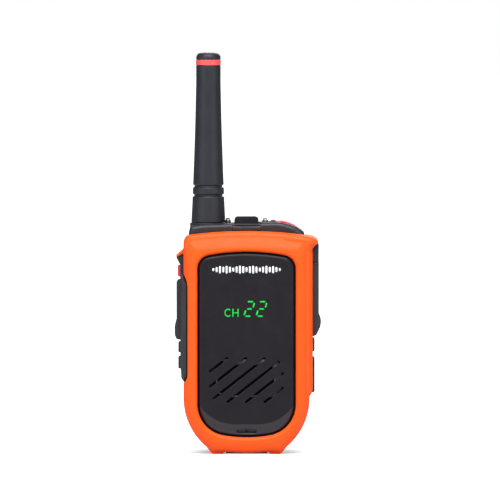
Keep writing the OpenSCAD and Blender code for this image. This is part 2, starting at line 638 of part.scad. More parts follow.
// Cone on the speaker's axis that widens towards the front
module speaker_taper(back_face_y, back_r, front_r, depth)
  translate([0, back_face_y, speaker_at[1]]) rotate([90, 0, 0])
    cylinder(r1 = back_r, r2 = front_r, h = depth);
module speaker_basket() color([0.35, 0.35, 0.37]) difference() {
  union() {
    cyl_y(speaker_at, 14.0, [-13.0, -12.0]);
    speaker_taper(-8.6, 9, 13.2, 3.6);
  }
  speaker_taper(-9.4, 7.8, 12.2, 3.61);
  cyl_y(speaker_at, 3.4, [-14, -8]);
}
module speaker_magnet() color([0.3, 0.3, 0.32]) cyl_y(speaker_at, 8.0, [-8.55, -4.4]);
// Half section as [radius, distance forward of y = 0]
cone_section = [[0, 10.3], [2.6, 10.3], [2.6, 9.1], [3.0, 9.1], [3.0, 10.3], [10.4, 12.05],
  [10.4, 12.4], [3.2, 10.65], [0, 10.65]];
module speaker_cone() color([0.13, 0.13, 0.13])
  translate([0, 0, speaker_at[1]]) rotate([90, 0, 0]) rotate_extrude($fn = 48)
    polygon(cone_section);
module speaker_mesh() color(soft_black) cyl_y(speaker_at, 14.5, [-15.05, -14.65]);
module microphone() color(steel) cyl_y(mic_at, 2.0, [-12.4, -10.6]);
module microphone_boot() color(soft_black) difference() {
  cyl_y(mic_at, 3.0, [-13.05, -10.5]);
  cyl_y(mic_at, 2.05, [-12.45, -10]);
  cyl_y(mic_at, 0.6, [-14, -10]);
}

// ---------- battery pack ----------
module battery_tray() color(case_black) difference() {
  slab(pack_outline(seam, 0), [rear_y + 0.15, cell_seat_y]);
  cyl_y(pack_screw_at, 1.65, [5, 20]);
  for (x = contact_x) box(span(x, 1.6), [8, 9.2], span(contact_z, 3.2));
}
module battery_cover() color(case_black) difference() {
  hull() {
    slab(pack_outline(0, 0), [cell_seat_y + seam, 14.5]);
    slab(pack_outline(0.8, 0.8), [15, 16.2]);
    slab(pack_outline(2.6, 2.6), [16.4, pack_back_y]);
  }
  // cavity, left solid above z = 76.6
  difference() {
    slab(pack_outline(1.6, 1.6), [9, 16]);
    box([-30, 30], [0, 20], [76.6, 100]);
  }
  cyl_y(pack_screw_at, 1.65, [5, 20]);
  cyl_y(pack_screw_at, 4.3, [15.2, 20]);
  for (at = insert_at) cyl_y(at, 2.02, [12.4, 20]);
}
module battery_cell() color([0.65, 0.67, 0.7]) box([-18, 18], [10.3, 15.6], [16, 69]);
module battery_protection_board() color(board_green) box([-14, 14], [11, 12], [70.5, 75.5]);
module battery_contacts() color(contact_gold)
  for (x = contact_x) box(span(x, 1.5), [8.72, 9.18], span(contact_z, 3));
module radio_contacts() color(contact_gold)
  for (x = contact_x) cyl_y([x, contact_z], 0.85, [5.5, 8.68]);
module battery_screw() color([0.55, 0.55, 0.57]) difference() {
  union() {
    cyl_y(pack_screw_at, 1.5, [4.6, 15.5]);
    cyl_y(pack_screw_at, 4.2, [15.25, 17.3]);
  }
  box([-3.4, 3.4], [16.3, 18], span(pack_screw_at[1], 0.6));
}
module battery_screw_nut() color(nut_brass) difference() {
  cyl_y(pack_screw_at, 2.58, [back_y + 0.1, 7.58]);
  cyl_y(pack_screw_at, 1.56, [3, 9]);
}
module clip_inserts() color(nut_brass) for (at = insert_at) difference() {
  cyl_y(at, 2.0, [12.45, pack_back_y - seam]);
  cyl_y(at, 1.25, [12.9, 20]);
}

front_bumper();
front_panel();
display_segments();
front_case();
case_gasket();
rear_case();
case_screws();
top_cap();
lanyard_lug();
lug_screws();
power_button();
power_button_seal();
power_switch_body();
power_switch_stem();
antenna_sheath();
antenna_ring();
antenna_coil();
antenna_stud();
antenna_bushing();
left_key_frame();
call_button();
call_switch_stem();
ptt_lever();
ptt_pivot_pin();
ptt_switch_stem();
vol_up_button();
vol_up_switch_stem();
vol_down_button();
vol_down_switch_stem();
side_key_seal();
side_switch_bodies();
side_key_board();
right_side_frame();
port_cover();
port_cover_pin();
usb_c_port();
headset_jack();
main_board();
shield_can();
display_board();
display_module();
speaker_basket();
speaker_magnet();
speaker_cone();
speaker_mesh();
microphone();
microphone_boot();
battery_tray();
battery_cover();
battery_cell();
battery_protection_board();
battery_contacts();
radio_contacts();
battery_screw();
battery_screw_nut();
clip_inserts();
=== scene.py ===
"""A handheld two-way radio with an aerial, standing upright on a floor.

The front faces -Y, +Z is up and +X is to the right as seen from the front. Outlines lie in
the XZ plane and run along Y. Left and right are as seen from the front.
"""
import bpy
import bmesh
import json
import math
import numpy as np
from mathutils import Matrix, Vector


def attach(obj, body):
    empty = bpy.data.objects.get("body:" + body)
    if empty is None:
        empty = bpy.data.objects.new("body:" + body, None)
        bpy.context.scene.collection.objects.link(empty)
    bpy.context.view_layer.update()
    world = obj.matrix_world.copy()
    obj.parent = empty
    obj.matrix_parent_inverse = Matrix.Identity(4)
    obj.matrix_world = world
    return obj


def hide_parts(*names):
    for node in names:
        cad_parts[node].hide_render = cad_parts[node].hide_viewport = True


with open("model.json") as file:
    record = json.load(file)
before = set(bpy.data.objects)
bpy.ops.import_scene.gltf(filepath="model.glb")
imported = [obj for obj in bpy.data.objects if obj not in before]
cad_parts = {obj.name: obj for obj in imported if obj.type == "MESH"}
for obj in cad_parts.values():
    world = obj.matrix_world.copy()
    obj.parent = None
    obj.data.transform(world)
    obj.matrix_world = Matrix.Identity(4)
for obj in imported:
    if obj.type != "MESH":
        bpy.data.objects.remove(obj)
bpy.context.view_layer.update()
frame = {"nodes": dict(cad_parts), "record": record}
NODES = frame["nodes"]
SLOT_OF = {part["node"]: part["material_slot"] for part in frame["record"]["subparts"]}

# ------------------------------------------------------------------ material tools
MATERIALS = {}


def tint(colour, factor, lift=0.0):
    """Scale a colour, add a little, and keep it in range."""
    return tuple(min(1.0, channel * factor + lift) for channel in colour)


class Surface:
    """A new Principled material, with methods that add procedural nodes to it."""

    def __init__(self, name):
        material = bpy.data.materials.new(name)
        material.use_nodes = True
        MATERIALS[name] = material
        self.tree = material.node_tree
        self.shader = self.tree.nodes["Principled BSDF"]
        self.coords = self.node("TexCoord").outputs["Object"]

    def fill(self, node, inputs):
        """Link or set each input; colours get an alpha of one."""
        for key, value in inputs.items():
            socket = node.inputs[key]
            if isinstance(value, bpy.types.NodeSocket):
                self.tree.links.new(value, socket)
            elif socket.type == "RGBA":
                socket.default_value = (*value, 1.0)
            else:
                socket.default_value = value

    def node(self, kind, inputs=None, **settings):
        node = self.tree.nodes.new("ShaderNode" + kind)
        for key, value in settings.items():
            setattr(node, key, value)
        self.fill(node, inputs or {})
        return node

    def shade(self, inputs):
        self.fill(self.shader, inputs)

    def noise(self, scale, detail=4.0, rough=0.55, coords=None):
        inputs = {"Scale": scale, "Detail": detail, "Roughness": rough,
                  "Vector": coords or self.coords}
        return self.node("TexNoise", inputs).outputs["Fac"]

    def remap(self, value, span=(0.3, 0.7), to=(0.0, 1.0)):
        inputs = {"Value": value, "From Min": span[0], "From Max": span[1],
                  "To Min": to[0], "To Max": to[1]}
        return self.node("MapRange", inputs).outputs["Result"]

    def mix(self, factor, first, second):
        # sockets 0, 6 and 7 are the factor and the two colours, output 2 is the colour
        inputs = {0: factor, 6: first, 7: second}
        return self.node("Mix", inputs, data_type="RGBA").outputs[2]

    def math(self, operation, first, second):
        return self.node("Math", {0: first, 1: second}, operation=operation).outputs[0]

    def edge_wear_and_highlight(self, span, amount):
        """A mask for convex edges, lightened as part rubbed wear and part painted highlight."""
        pointiness = self.node("NewGeometry").outputs["Pointiness"]
        return self.remap(pointiness, span=span, to=(0.0, amount))

    def bump(self, height, strength, distance):
        inputs = {"Strength": strength, "Distance": distance, "Height": height}
        self.shade({"Normal": self.node("Bump", inputs).outputs["Normal"]})


def moulded(name, colour, rough, vary, grain, bump, edge, edge_colour=None, spec=0.5,
            coat=0.0, metallic=0.0, pebble=0.0, subsurface=0.0):
    """A moulded surface: blotchy colour, fine grain, lighter edges that are part rubbed wear and
    part painted highlight.

    vary is the colour variation, grain and pebble are texture scales, edge is the edge lightening,
    part wear and part painted highlight.
    """
    s = Surface(name)
    blotches = s.remap(s.noise(scale=90.0, detail=3.0))
    base = s.mix(blotches, tint(colour, 1 - vary), tint(colour, 1 + vary))
    specks = s.noise(scale=grain, detail=3.0, rough=0.6)
    specks = s.remap(specks, span=(0.35, 0.65), to=(0.0, 0.5 * vary))
    base = s.mix(specks, base, tint(colour, 1.5, lift=0.004))
    # lighter convex edges: part rubbed wear, part painted highlight
    wear_and_highlight = s.edge_wear_and_highlight(span=(0.515, 0.58), amount=edge)
    base = s.mix(wear_and_highlight, base, edge_colour or tint(colour, 1.45, lift=0.01))
    patches = s.noise(scale=260.0, detail=5.0)
    s.shade({
        "Base Color": base,
        "Metallic": metallic,
        "Specular IOR Level": spec,
        "Roughness": s.remap(patches, span=(0.25, 0.75), to=(rough - 0.07, rough + 0.09)),
        "Coat Weight": coat,
        "Coat Roughness": 0.3,
    })
    if subsurface:
        s.shade({"Subsurface Weight": subsurface, "Subsurface Scale": 0.6,
                 "Subsurface Radius": (0.002, 0.0008, 0.0005)})
    height = s.noise(scale=grain, detail=4.0, rough=0.6)
    if pebble:
        cells = s.node("TexVoronoi", {"Scale": pebble, "Vector": s.coords})
        height = s.math("ADD", height, cells.outputs["Distance"])
    s.bump(height, strength=bump, distance=0.00004)


def metal(name, colour, rough, streak=1.0, axis=2):
    """Bare metal with fine streaks; the noise is stretched differently along one axis."""
    s = Surface(name)
    scale = [900.0, 900.0, 900.0]
    scale[axis] = 9000.0 * streak
    mapping = s.node("Mapping", {"Scale": scale, "Vector": s.coords})
    streaks = s.noise(scale=1.0, coords=mapping.outputs["Vector"])
    base = s.mix(s.remap(streaks), tint(colour, 0.8), tint(colour, 1.12))
    # lighter convex edges: part wear, part painted highlight
    wear_and_highlight = s.edge_wear_and_highlight(span=(0.51, 0.6), amount=0.4)
    s.shade({
        "Base Color": s.mix(wear_and_highlight, base, tint(colour, 1.3)),
        "Metallic": 1.0,
        "Roughness": s.remap(streaks, span=(0.25, 0.75), to=(rough - 0.06, rough + 0.12)),
    })
    s.bump(streaks, strength=0.12, distance=0.00002)


def woven(name, colour):
    """Fine cloth: crossed wave threads."""
    s = Surface(name)
    inputs = {"Scale": 2600.0 / 6.0, "Distortion": 0.6, "Vector": s.coords}
    across, upright = [s.node("TexWave", inputs, bands_direction=axis).outputs["Fac"]
                       for axis in ("X", "Z")]
    weave = s.math("MULTIPLY", across, upright)
    s.shade({"Base Color": s.mix(weave, tint(colour, 0.4), colour),
             "Roughness": 0.85, "Specular IOR Level": 0.15})
    s.bump(weave, strength=0.6, distance=0.00008)


def lit(name, colour, strength):
    """A glowing surface, a little uneven."""
    s = Surface(name)
    uneven = s.noise(scale=900.0, detail=2.0)
    s.shade({
        "Emission Color": s.mix(s.remap(uneven), tint(colour, 0.82), colour),
        "Emission Strength": s.remap(uneven, to=(strength * 0.85, strength * 1.1)),
        "Base Color": s.mix(uneven, tint(colour, 0.05), tint(colour, 0.1)),
        "Roughness": s.remap(uneven, to=(0.3, 0.45)),
        "Specular IOR Level": 0.15,
    })


def board(name):
    """Green solder mask over raised tracks."""
    s = Surface(name)
    cells = s.node("TexVoronoi", {"Scale": 420.0, "Vector": s.coords}, distance="MANHATTAN")
    tracks = s.remap(cells.outputs["Distance"], span=(0.42, 0.5))
    s.shade({"Base Color": s.mix(tracks, (0.012, 0.09, 0.035), (0.03, 0.2, 0.08)),
             "Roughness": s.remap(s.noise(scale=300.0), to=(0.25, 0.4))})
    s.bump(tracks, strength=0.4, distance=0.00004)


# ------------------------------------------------------------------ materials
moulded("orange_rubber", (1.0, 0.087, 0.001), rough=0.48, vary=0.03, grain=3000, bump=0.2,
        edge=0.12, edge_colour=(1.0, 0.15, 0.02), spec=0.3)
moulded("panel_plastic", (0.0068, 0.0042, 0.0072), rough=0.4, vary=0.25, grain=1500, bump=0.8,
        edge=0.4, edge_colour=(0.06, 0.056, 0.06), spec=0.28, pebble=3600)
# the panel plastic about three times lighter: painted highlight for the sloped chin and the ribs
# behind the slots
moulded("panel_painted_highlight", (0.0215, 0.0162, 0.0218), rough=0.42, vary=0.1, grain=3400, bump=0.3,
        edge=0.3, edge_colour=(0.07, 0.065, 0.07), pebble=3600)
# near-black and matte: the dark step at the rim, and painted shade on the slot walls
moulded("dark_step_and_slot_shade", (0.0018, 0.0018, 0.003), rough=0.8, vary=0.1, grain=3000, bump=0.2,
        edge=0.0, spec=0.06)
moulded("case_plastic", (0.021, 0.016, 0.0212), rough=0.46, vary=0.12, grain=3000, bump=0.35,
        edge=0.4, edge_colour=(0.09, 0.088, 0.092), spec=0.44, pebble=3200)
moulded("seal_rubber", (0.012, 0.012, 0.013), rough=0.7, vary=0.15, grain=2600, bump=0.3,
        edge=0.2)
metal("screw_steel", (0.30, 0.30, 0.32), rough=0.32, axis=1)
# near-black: painted shade for the interior seen through the gap and the slots
moulded("interior_painted_shade", (0.0035, 0.0033, 0.0038), rough=0.6, vary=0.15, grain=2600, bump=0.3,
        edge=0.2, edge_colour=(0.02, 0.02, 0.02), spec=0.22)
moulded("cap_plastic", (0.0155, 0.0132, 0.0172), rough=0.44, vary=0.12, grain=3000, bump=0.35,
        edge=0.4, edge_colour=(0.09, 0.088, 0.092), spec=0.44, pebble=3200)
moulded("plate_satin", (0.034, 0.033, 0.035), rough=0.3, vary=0.1, grain=2200, bump=0.12,
        edge=0.3, edge_colour=(0.12, 0.12, 0.12))
moulded("lug_black", (0.006, 0.005, 0.008), rough=0.4, vary=0.15, grain=3000, bump=0.25,
        edge=0.4, edge_colour=(0.06, 0.06, 0.065), spec=0.34)
metal("bright_steel", (0.68, 0.64, 0.60), rough=0.26)
moulded("red_key", (0.78, 0.028, 0.055), rough=0.36, vary=0.08, grain=2600, bump=0.18,
        edge=0.4, edge_colour=(0.9, 0.2, 0.22), coat=0.2, subsurface=0.05)
moulded("switch_black", (0.015, 0.015, 0.016), rough=0.45, vary=0.15, grain=3000, bump=0.2,
        edge=0.3)
moulded("white_plastic", (0.72, 0.72, 0.68), rough=0.4, vary=0.05, grain=3000, bump=0.15,
        edge=0.1)
moulded("aerial_rubber", (0.014, 0.0138, 0.019), rough=0.42, vary=0.1, grain=2800, bump=0.3,
        edge=0.3, edge_colour=(0.07, 0.07, 0.078), spec=0.42, pebble=2600)
moulded("coral_ring", (0.86, 0.075, 0.07), rough=0.38, vary=0.06, grain=2600, bump=0.15,
        edge=0.3, edge_colour=(0.95, 0.3, 0.28), coat=0.15)
metal("spring_copper", (0.72, 0.42, 0.24), rough=0.3)
metal("brass", (0.78, 0.6, 0.28), rough=0.26)
moulded("key_rubber", (0.022, 0.018, 0.0225), rough=0.5, vary=0.12, grain=2800, bump=0.3,
        edge=0.45, edge_colour=(0.1, 0.098, 0.102), pebble=2600)
board("board_green")
moulded("flap_rubber", (0.022, 0.018, 0.0225), rough=0.5, vary=0.12, grain=2600, bump=0.35,
        edge=0.45, edge_colour=(0.1, 0.098, 0.105), pebble=2400)
moulded("basket_steel", (0.14, 0.14, 0.15), rough=0.4, vary=0.1, grain=2600, bump=0.2,
        edge=0.3, metallic=0.6)
moulded("magnet_dark", (0.06, 0.06, 0.065), rough=0.6, vary=0.2, grain=1800, bump=0.4,
        edge=0.3, metallic=0.3)
moulded("cone_paper", (0.03, 0.03, 0.03), rough=0.8, vary=0.2, grain=1600, bump=0.5, edge=0.1)
# near-black cloth: partly the cloth's own black, partly painted shade so the slots read dark
woven("mesh_fabric", (0.004, 0.004, 0.0045))
metal("cell_foil", (0.6, 0.61, 0.63), rough=0.35, streak=0.5)
metal("gold_contact", (0.85, 0.62, 0.26), rough=0.22)
lit("lit_green", (0.012, 0.86, 0.09), strength=1.0)
moulded("emblem_white", (0.82, 0.82, 0.83), rough=0.5, vary=0.04, grain=3000, bump=0.1,
        edge=0.1)


# ------------------------------------------------------------------ outlines in XZ
def resample(points, count):
    """Spread points evenly along a closed outline."""
    points = np.array(points, float)
    closed = np.vstack([points, points[:1]])
    travel = np.r_[0, np.cumsum(np.hypot(*np.diff(closed, axis=0).T))]
    stops = np.linspace(0, travel[-1], count, endpoint=False)
    return np.c_[np.interp(stops, travel, closed[:, 0]), np.interp(stops, travel, closed[:, 1])]


def soften(points, count, rounds):
    """Resample a closed outline and round its corners a little."""
    points = resample(points, count)
    for _ in range(rounds):
        points = 0.5 * points + 0.25 * (np.roll(points, 1, 0) + np.roll(points, -1, 0))
    return points


def arc(x, z, radius, start, end, count):
    """Points on an arc between two angles in degrees."""
    angles = np.radians(np.linspace(start, end, count))
    return list(zip(x + radius * np.cos(angles), z + radius * np.sin(angles)))


def rounded_rect(x0, x1, z0, z1, radius, count=64):
    return resample(arc(x1 - radius, z0 + radius, radius, -90, 0, 12)
                    + arc(x1 - radius, z1 - radius, radius, 0, 90, 12)
                    + arc(x0 + radius, z1 - radius, radius, 90, 180, 12)
                    + arc(x0 + radius, z0 + radius, radius, 180, 270, 12), count)


def capsule(x, z, length, width, angle, steps=14):
    """A round-ended strip that starts at (x, z) and runs along angle, in radians."""
    points = []
    for centre, start in ((0, math.pi / 2), (length, -math.pi / 2)):
        for i in range(steps + 1):
            turn = start + math.pi * i / steps
            points.append((centre + width / 2 * math.cos(turn), width / 2 * math.sin(turn)))
    c, s = math.cos(angle), math.sin(angle)
    return np.array([(x + c * p - s * q, z + s * p + c * q) for p, q in points])


def smooth_path(knots, steps=8):
    """Catmull-Rom curve through an open list of points."""
    k = [np.array(knot, float) for knot in knots]
    k = [2 * k[0] - k[1]] + k + [2 * k[-1] - k[-2]]
    path = []
    for i in range(1, len(k) - 2):
        a, b, c, d = k[i - 1:i + 3]
        for t in np.linspace(0, 1, steps, endpoint=False):
            path.append(0.5 * ((2 * b) + (c - a) * t + (2 * a - 5 * b + 4 * c - d) * t * t
                               + (3 * b - a - 3 * c + d) * t ** 3))
    path.append(k[-2])
    return [tuple(point) for point in path]


# Body outline: a round bottom as wide as the body, cut flat, and a shallow crown.
BODY_HALF = 27.4        # half width, also the radius of the bottom curve
BODY_LOW_Z = 24.2       # centre of the bottom curve
BODY_TOP = 96.9
CROWN_RADIUS = 195
BODY_CORNER = 4


def body_outline(inset, bottom, top_drop=0.0, bow=0.0):
    """The body outline, inset all round; bow lowers the middle of the flat bottom."""
    half = BODY_HALF - inset
    radius = CROWN_RADIUS - inset
    corner = max(BODY_CORNER - inset, 0.8)
    crown_z = BODY_TOP - inset - top_drop - radius
    corner_x = half - corner
    corner_z = crown_z + math.sqrt((radius - corner) ** 2 - corner_x ** 2)
    top = math.degrees(math.atan2(corner_z - crown_z, corner_x))
    low = math.degrees(math.asin((bottom - BODY_LOW_Z) / half))
    points = resample([(0.0, bottom)] + arc(0, BODY_LOW_Z, half, low, 0, 60)
                      + arc(corner_x, corner_z, corner, 0, top, 24)
                      + arc(0, crown_z, radius, top, 180 - top, 50)
                      + arc(-corner_x, corner_z, corner, 180 - top, 180, 24)
                      + arc(0, BODY_LOW_Z, half, 180, 180 - low, 60), 360)
    middle = np.clip(1 - (points[:, 0] / 10.0) ** 2, 0, None)
    points[:, 1] -= bow * middle * (points[:, 1] < bottom + 0.01)
    return points


# Front opening: curved bottom and top, joined to straight sides by rounded corners.
OPENING_HALF = 21.3
SILL_Z, SILL_RADIUS, SILL_CORNER = 65.4, 58, 13.5    # bottom curve: centre, radius, corners
HEAD_Z, HEAD_RADIUS, HEAD_CORNER = -2.0, 90, 6       # top curve: the same


def opening(inset, count=360):
    low_x = OPENING_HALF - SILL_CORNER
    low_z = SILL_Z - math.sqrt((SILL_RADIUS - SILL_CORNER) ** 2 - low_x ** 2)
    low = math.degrees(math.atan2(low_z - SILL_Z, low_x))
    top_x = OPENING_HALF - HEAD_CORNER
    top_z = HEAD_Z + math.sqrt((HEAD_RADIUS - HEAD_CORNER) ** 2 - top_x ** 2)
    top = math.degrees(math.atan2(top_z - HEAD_Z, top_x))
    return resample(arc(0, SILL_Z, SILL_RADIUS - inset, -90, low, 20)
                    + arc(low_x, low_z, SILL_CORNER - inset, low, 0, 40)
                    + arc(top_x, top_z, HEAD_CORNER - inset, 0, top, 24)
                    + arc(0, HEAD_Z, HEAD_RADIUS - inset, top, 180 - top, 50)
                    + arc(-top_x, top_z, HEAD_CORNER - inset, 180 - top, 180, 24)
                    + arc(-low_x, low_z, SILL_CORNER - inset, 180, 180 - low, 40)
                    + arc(0, SILL_Z, SILL_RADIUS - inset, -180 - low, -90, 20)[:-1], count)


# ------------------------------------------------------------------ solids
def link(mesh, name):
    obj = bpy.data.objects.new(name, mesh)
    bpy.context.scene.collection.objects.link(obj)
    return obj


def remove(obj):
    mesh = obj.data
    bpy.data.objects.remove(obj)
    bpy.data.meshes.remove(mesh)


def clean(mesh, distance):
    """Weld close vertices and turn the faces outwards."""
    bm = bmesh.new()
    bm.from_mesh(mesh)
    bmesh.ops.remove_doubles(bm, verts=bm.verts, dist=distance)
    bmesh.ops.recalc_face_normals(bm, faces=bm.faces)
    bm.to_mesh(mesh)
    bm.free()


def solid(verts, faces, name):
    mesh = bpy.data.meshes.new(name)
    mesh.from_pydata([tuple(map(float, v)) for v in verts], [], faces)
    clean(mesh, 1e-5)
    return link(mesh, name)


def loft(rings, name="part"):
    """Closed solid through rings of equal length; each is (XZ points, y or a y per point)."""
    n = len(rings[0][0])
    verts, faces = [], []
    for points, y in rings:
        depths = y if hasattr(y, "__len__") else [y] * n
        verts += [(point[0], depth, point[1]) for point, depth in zip(points, depths)]
    for i in range(len(rings) - 1):
        for j in range(n):
            k = (j + 1) % n
            faces.append((i * n + j, i * n + k, (i + 1) * n + k, (i + 1) * n + j))
    faces.append(tuple(range(n)))
    faces.append(tuple(range((len(rings) - 1) * n, len(rings) * n))[::-1])
    return solid(verts, faces, name)


def prism(points, y0, y1, name="part"):
    points = np.array(points, float)
    return loft([(points, y0), (points, y1)], name)


def block(x0, x1, y0, y1, z0, z1):
    return prism([(x0, z0), (x1, z0), (x1, z1), (x0, z1)], y0, y1)


def join(pieces, name):
    """One object from several; the pieces are removed."""
    mesh = bpy.data.meshes.new(name)
    bm = bmesh.new()
    for piece in pieces:
        bm.from_mesh(piece.data)
        remove(piece)
    bm.to_mesh(mesh)
    bm.free()
    return link(mesh, name)


def apply_modifiers(obj):
    bpy.context.view_layer.update()
    graph = bpy.context.evaluated_depsgraph_get()
    mesh = bpy.data.meshes.new_from_object(obj.evaluated_get(graph))
    obj.modifiers.clear()
    old = obj.data
    obj.data = mesh
    bpy.data.meshes.remove(old)


def boolean(obj, tools, operation="DIFFERENCE"):
    """Cut or join the tools one after another, then remove them."""
    for tool in tools:
        modifier = obj.modifiers.new("boolean", "BOOLEAN")
        modifier.operation = operation
        modifier.solver = "EXACT"
        modifier.object = tool
    apply_modifiers(obj)
    for tool in tools:
        remove(tool)


def bevel(obj, width):
    modifier = obj.modifiers.new("bevel", "BEVEL")
    modifier.width = width
    modifier.segments = 2
    modifier.limit_method = "ANGLE"
    apply_modifiers(obj)


def remesh(obj, voxel, passes):
    """One even skin; the smoothing rounds every edge by about the voxel."""
    skin = obj.modifiers.new("remesh", "REMESH")
    skin.mode = "VOXEL"
    skin.voxel_size = voxel
    skin.use_smooth_shade = True
    smooth = obj.modifiers.new("smooth", "SMOOTH")
    smooth.factor = 0.5
    smooth.iterations = passes
    apply_modifiers(obj)


def drop_islands(obj, share=0.02):
    """Delete loose islands smaller than a share of the largest one."""
    bm = bmesh.new()
    bm.from_mesh(obj.data)
    seen, islands = set(), []
    for start in bm.verts:
        if start.index in seen:
            continue
        stack, island = [start], []
        seen.add(start.index)
        while stack:
            vert = stack.pop()
            island.append(vert)
            for edge in vert.link_edges:
                other = edge.other_vert(vert)
                if other.index not in seen:
                    seen.add(other.index)
                    stack.append(other)
        islands.append(island)
    smallest = share * max(len(island) for island in islands)
    stray = [vert for island in islands if len(island) < smallest for vert in island]
    if stray:
        bmesh.ops.delete(bm, geom=stray, context="VERTS")
    bm.to_mesh(obj.data)
    bm.free()


def read_vectors(items, attribute):
    values = np.zeros(len(items) * 3)
    items.foreach_get(attribute, values)
    return values.reshape(-1, 3)


def smooth_shade(obj):
    obj.data.polygons.foreach_set("use_smooth", [True] * len(obj.data.polygons))
    obj.data.update()


def paint(obj, material):
    obj.data.materials.clear()
    obj.data.materials.append(MATERIALS[material])


def finish(obj, slot, body, *nodes, material=None):
    """Scale to metres, paint with the slot's material, attach to the body, and hide the CAD nodes
    replaced.

    material is given where the finish differs from the recorded slot.
    """
    obj.data.transform(Matrix.Scale(0.001, 4))
    smooth_shade(obj)
    paint(obj, material or slot)
    if nodes:
        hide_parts(*nodes)
    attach(obj, body)


# ------------------------------------------------------------------ bumper
BUMPER_BOTTOM = 1.1
ROLL_Y, ROLL_DEPTH = -12, 5.45    # where the side roll starts and how far forward it goes
BOW = 0.75                        # drop of the middle of the bottom edge

# Front roll of the bumper: inset of the outline, y along the top edge.
ROLL = [
    (0, -12), (0.05, -13.2), (0.15, -14.2), (0.3, -14.8), (0.5, -15.15), (0.75, -15.42),
    (1.0, -15.65), (1.2, -15.8), (1.4, -15.87), (1.6, -15.89), (1.8, -15.9), (2.0, -15.95),
    (2.25, -16.05), (2.6, -16.2), (3.1, -16.43), (3.7, -16.7), (4.4, -17.0), (5.1, -17.27),
    (5.6, -17.43),
]
ROLL_WIDTH = ROLL[-1][0]

# Stations front to back: inset, y.
PAD_STATIONS = [
    (2.6, -15.6), (1.5, -15.1), (0.75, -14.2), (0.3, -13.1), (0.07, -12.0), (0, -11.0),
    (0, 3.2), (0.15, 3.7), (0.4, 3.95),
]
SHOULDER_STATIONS = [
    (3.4, -16.23), (2.0, -15.53), (1.0, -14.63), (0.4, -13.43), (0.1, -12.23), (0, -10.83),
    (0, 3.03), (0.3, 3.64), (0.6, 3.91),
]
OPENING_STATIONS = [
    (-1.9, -18.6), (-1.2, -17.6), (-0.7, -17.05), (-0.28, -16.7), (0, -16.15), (0, -14.0),
]


def bumper_shell():
    """The solid body with a rolled front edge; the roll is flatter along the top."""
    rings = []
    for inset, y_top in reversed(ROLL):
        points = body_outline(inset, BUMPER_BOTTOM + 0.85 * inset, top_drop=0.3 * inset,
                              bow=BOW * (1 - inset / 8))
        blend = np.clip((points[:, 1] - 84.0) / 8.0, 0, 1)
        blend = blend * blend * (3 - 2 * blend)
        quarter = math.sqrt(max(0.0, 1 - (1 - inset / ROLL_WIDTH) ** 2))
        y_side = ROLL_Y - ROLL_DEPTH * quarter
        rings.append((points, y_side * (1 - blend) + y_top * blend))
    rings.append((body_outline(0, BUMPER_BOTTOM, bow=BOW), 3.4))
    rings.append((body_outline(0.12, BUMPER_BOTTOM, bow=0.7), 3.8))
    rings.append((body_outline(0.4, 1.3, bow=0.6), 3.98))
    return loft(rings, "front_bumper_skin")


def side_pad(d):
    """Outline of the long pad on the right side, its outer edge inset by d."""
    return soften([(18, 25), (26.6 - d, 24.3), (28.3 - d, 25.7), (28.8 - d, 27.6),
                   (28.8 - d, 88.3), (28.2 - d, 92.6), (18, 93)], 220, 4)


def shoulder(d):
    """Outline of the top right corner, its outer edge inset by d."""
    return soften([(16.9, 87.7), (28.8 - d, 89.0), (29.6 - d, 90.4), (31.1 - d, 91.45),
                   (31.1 - d, 92.35), (30.5 - d, 93.4 - 0.2 * d), (28.9 - d, 94.45 - 0.35 * d),
                   (25.2 - d, 95.15 - 0.4 * d), (16.9, 96.1 - 0.5 * d)], 180, 2)


def foot(side):
    outline = [(side * x, z) for x, z in ((8.6, 1.7), (9.3, 0.9), (10.3, 0.02), (14.8, 0.02),
                                          (15.8, 1.0), (17.2, 2.9), (12, 3.6))]
    return prism(soften(outline, 80, 2), -13.02, 3.17)


def bumper_cuts():
    inside = body_outline(2.0, 3.0)
    left_edge = smooth_path([(-28.2, 79.6), (-27.45, 78.2), (-26.75, 76.8), (-26.1, 75.3),
                             (-25.75, 73.4), (-25.65, 70.0)])
    left_edge += smooth_path([(-25.65, 36.0), (-25.75, 33.6), (-26.3, 32.2), (-27.0, 30.9),
                              (-27.6, 29.6)])
    return [
        # front opening with a rolled lip
        loft([(opening(inset), y) for inset, y in OPENING_STATIONS]),
        # room for the case, open at the top behind the front wall
        prism(inside, -15.2, 6.0),
        block(-25.4, 25.4, -11.45, 6, 86, 112),
        # left side: waisted edge, thinned wall, space behind
        prism(left_edge + [(-40, 29.0), (-40, 79.6)], -20, 6),
        prism([(-24.9, 33.0), (-26.2, 33.0), (-26.2, 74.0), (-24.9, 74.0)], -15.2, 6),
        prism([(-24, 31.0), (-26.8, 30.4), (-40, 30.4), (-40, 87.7), (-24, 87.7)], -9.7, 2.2),
        # right side, below the shoulder
        prism([(24, 26.2), (40, 26.2), (40, 96.4), (31.1, 91.65), (29.5, 90.8), (28.75, 89.3),
               (24, 89.1)], -9.7, 2.2),
        # notch in the middle of the bottom
        block(-9.2, 9.2, -6.2, 6, -2, 4.2),
    ]


def left_lip():
    """Overhang at the top left, and the thin skirt along its front."""
    lip = [(-26.4, 87.9), (-27.5, 87.6), (-30.35, 85.75), (-30.72, 86.1), (-27.6, 88.7),
           (-26.4, 89.6)]
    skirt = [(-26.35, 86.7), (-27.5, 87.1), (-30.42, 85.3), (-30.7, 86.05), (-27.6, 88.6),
             (-26.35, 89.5)]
    return [prism(soften(lip, 60, 2), -10.4, 2.0), prism(soften(skirt, 60, 2), -10.35, -9.62)]


